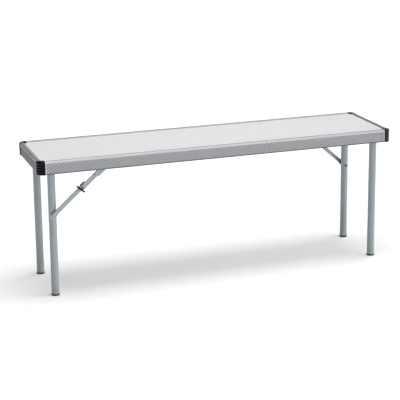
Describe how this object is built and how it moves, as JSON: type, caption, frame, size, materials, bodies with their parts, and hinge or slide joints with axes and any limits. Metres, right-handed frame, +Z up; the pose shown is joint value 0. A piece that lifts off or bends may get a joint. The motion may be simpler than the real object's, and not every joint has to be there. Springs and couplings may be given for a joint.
{
  "type": "folding bench",
  "caption": "Long folding bench with a white top in a grooved aluminium frame, black corner caps, fold-in leg frames and locking stays with red rings.",
  "frame": {"origin": "on the floor under the middle of the seat", "axes": "+X along the bench, +Y across it towards the back, +Z up"},
  "size_m": [1.212, 0.303, 0.45],
  "materials": {
    "rail": "satin anodised, fine grooves",
    "board_core": "fibreboard",
    "laminate": "white laminate",
    "under_sheet": "grey backing sheet",
    "connector": "smooth satin",
    "cap": "black ribbed moulding",
    "hinge_block": "black moulding",
    "bush": "natural nylon",
    "leg_paint": "silver grey paint",
    "foot_rubber": "black rubber",
    "stay_steel": "silver grey paint",
    "hanger_steel": "bright zinc",
    "fastener": "dark zinc",
    "ring_red": "dark red coating"
  },
  "bodies": {
    "bench": {"back_left_corner_cap": "cap", "back_left_corner_connector": "connector", "back_left_hinge_block": "hinge_block", "back_left_hinge_bush": "bush", "back_rail": "rail", "back_right_corner_cap": "cap", "back_right_corner_connector": "connector", "back_right_hinge_block": "hinge_block", "back_right_hinge_bush": "bush", "front_left_corner_cap": "cap", "front_left_corner_connector": "connector", "front_left_hinge_block": "hinge_block", "front_left_hinge_bush": "bush", "front_rail": "rail", "front_right_corner_cap": "cap", "front_right_corner_connector": "connector", "front_right_hinge_block": "hinge_block", "front_right_hinge_bush": "bush", "left_bracket_pin": "fastener", "left_end_rail": "rail", "left_stay_bracket": "hanger_steel", "right_bracket_pin": "fastener", "right_end_rail": "rail", "right_stay_bracket": "hanger_steel", "seat_board": "board_core", "top_laminate": "laminate", "underside_sheet": "under_sheet"},
    "left_legs": {"front_left_leg": "leg_paint", "back_left_leg": "leg_paint", "front_left_foot": "foot_rubber", "back_left_foot": "foot_rubber", "left_hinge_tube": "leg_paint", "left_stay_bolt": "fastener", "left_stay_spacer": "fastener"},
    "left_upper_stay": {"left_stay_upper_arm": "stay_steel", "left_stay_hanger": "hanger_steel", "left_knuckle_rivet": "fastener"},
    "left_lower_stay": {"left_stay_lower_arm": "stay_steel", "left_stay_foot_rivet": "fastener"},
    "left_ring": {"left_lock_ring": "ring_red"},
    "right_legs": {"back_right_leg": "leg_paint", "front_right_leg": "leg_paint", "back_right_foot": "foot_rubber", "front_right_foot": "foot_rubber", "right_hinge_tube": "leg_paint", "right_stay_bolt": "fastener", "right_stay_spacer": "fastener"},
    "right_upper_stay": {"right_stay_upper_arm": "stay_steel", "right_stay_hanger": "hanger_steel", "right_knuckle_rivet": "fastener"},
    "right_lower_stay": {"right_stay_lower_arm": "stay_steel", "right_stay_foot_rivet": "fastener"},
    "right_ring": {"right_lock_ring": "ring_red"}
  },
  "joints": [
    {"name": "left_leg_fold", "type": "hinge", "parent": "bench", "child": "left_legs", "pos_m": [-0.556, 0, 0.421], "axis": [0, -1, 0], "range_deg": [0, 90]},
    {"name": "left_bracket_pivot", "type": "hinge", "parent": "bench", "child": "left_upper_stay", "pos_m": [-0.383, 0, 0.421], "axis": [0, -1, 0], "range_deg": [0, 138.52]},
    {"name": "left_knuckle_pivot", "type": "hinge", "parent": "left_upper_stay", "child": "left_lower_stay", "pos_m": [-0.46201, 0, 0.35113], "axis": [0, 1, 0], "range_deg": [0, 180.01]},
    {"name": "left_ring_slide", "type": "slide", "parent": "left_lower_stay", "child": "left_ring", "axis": [-0.7491, 0, -0.6625], "range_m": [0, 0.1107]},
    {"name": "right_leg_fold", "type": "hinge", "parent": "bench", "child": "right_legs", "pos_m": [0.556, 0, 0.421], "axis": [0, 1, 0], "range_deg": [0, 90]},
    {"name": "right_bracket_pivot", "type": "hinge", "parent": "bench", "child": "right_upper_stay", "pos_m": [0.383, 0, 0.421], "axis": [0, 1, 0], "range_deg": [0, 138.52]},
    {"name": "right_knuckle_pivot", "type": "hinge", "parent": "right_upper_stay", "child": "right_lower_stay", "pos_m": [0.46201, 0, 0.35113], "axis": [0, -1, 0], "range_deg": [0, 180.01]},
    {"name": "right_ring_slide", "type": "slide", "parent": "right_lower_stay", "child": "right_ring", "axis": [0.7491, 0, -0.6625], "range_m": [0, 0.1107]}
  ],
  "couplings": [
    {"joint": "left_bracket_pivot", "follows": "left_leg_fold", "ratio": 1.539},
    {"joint": "left_knuckle_pivot", "follows": "left_leg_fold", "ratio": 2},
    {"joint": "left_ring_slide", "follows": "left_leg_fold", "m_per_rad": 0.07041},
    {"joint": "right_bracket_pivot", "follows": "right_leg_fold", "ratio": 1.539},
    {"joint": "right_knuckle_pivot", "follows": "right_leg_fold", "ratio": 2},
    {"joint": "right_ring_slide", "follows": "right_leg_fold", "m_per_rad": 0.07041}
  ]
}
